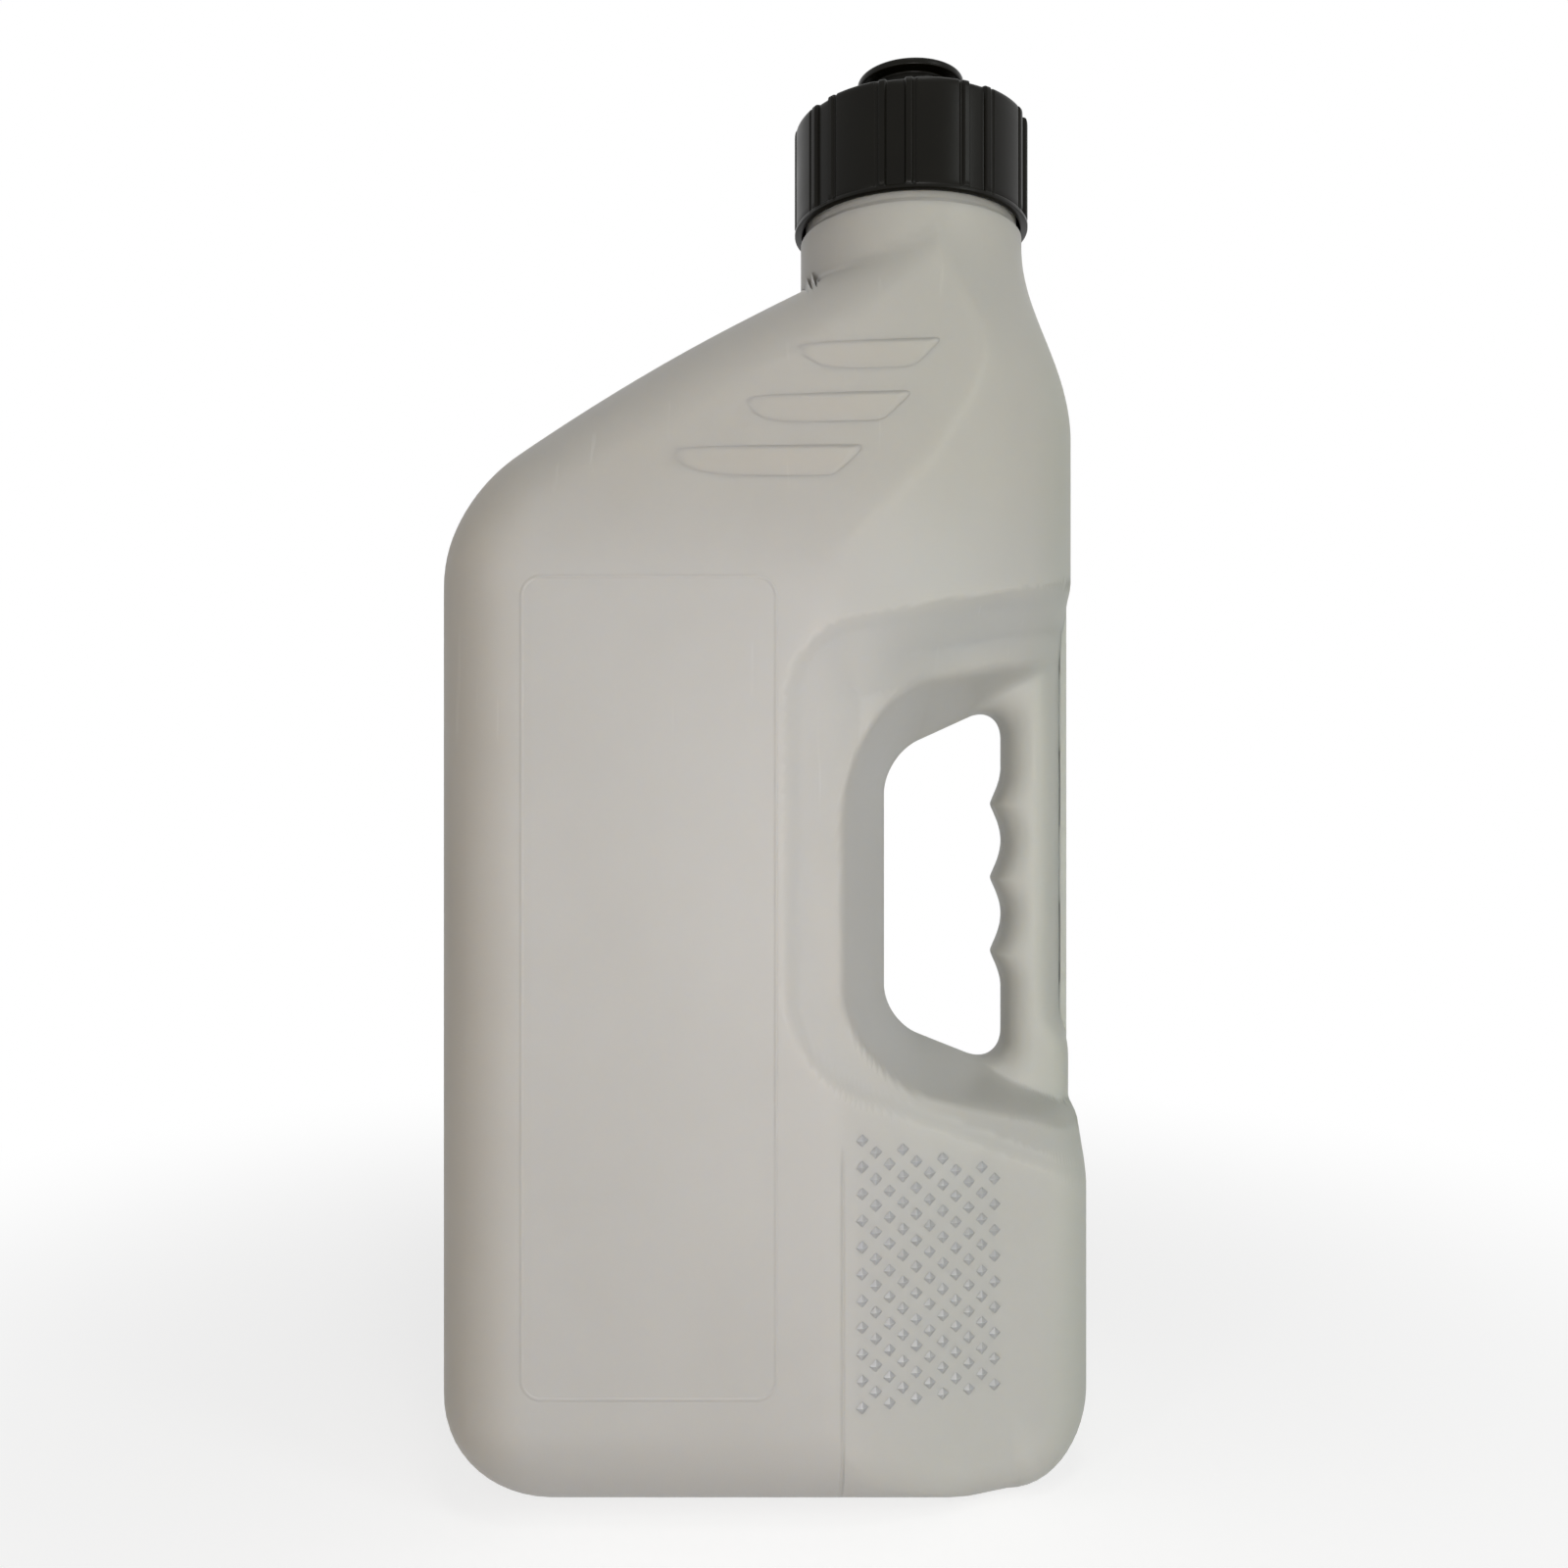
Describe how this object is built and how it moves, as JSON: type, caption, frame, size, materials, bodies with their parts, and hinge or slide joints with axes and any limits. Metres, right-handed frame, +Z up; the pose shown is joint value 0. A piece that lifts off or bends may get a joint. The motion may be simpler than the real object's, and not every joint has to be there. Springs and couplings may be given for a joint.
{
  "type": "utility jug",
  "caption": "Tall square blow-moulded liquid jug with a sloping top, through handle with finger grooves, offset neck, ribbed screw cap and small flanged outlet cap",
  "frame": {"origin": "centre of the object's box at the level of its base", "axes": "+Z up, +X towards the handle side, -Y out of the front panel; the mould's parting plane is Y = 0"},
  "size_m": [0.276, 0.2018, 0.6292],
  "materials": {
    "natural_plastic": "satin",
    "black_plastic": "satin",
    "seal_rubber": "matte"
  },
  "bodies": {
    "jug": {"jug_body": "natural_plastic"},
    "cap_ring": {"cap_gasket": "seal_rubber"},
    "cap": {"screw_cap": "black_plastic"},
    "outlet_ring": {"outlet_gasket": "seal_rubber"},
    "small_cap": {"outlet_cap": "black_plastic"}
  },
  "joints": [
    {"name": "cap_lift", "type": "slide", "parent": "jug", "child": "cap_ring", "axis": [0, 0, 1], "range_m": [0, 0.009]},
    {"name": "cap_turn", "type": "hinge", "parent": "cap_ring", "child": "cap", "pos_m": [0.065, 0, 0.577], "axis": [0, 0, 1], "range_deg": [0, 540]},
    {"name": "outlet_lift", "type": "slide", "parent": "cap", "child": "outlet_ring", "axis": [0, 0, 1], "range_m": [0, 0.0045]},
    {"name": "outlet_turn", "type": "hinge", "parent": "outlet_ring", "child": "small_cap", "pos_m": [0.065, 0, 0.617], "axis": [0, 0, 1], "range_deg": [0, 540]}
  ],
  "couplings": [
    {"joint": "cap_lift", "follows": "cap_turn", "m_per_rad": 0.0009549},
    {"joint": "outlet_lift", "follows": "outlet_turn", "m_per_rad": 0.00047745}
  ]
}
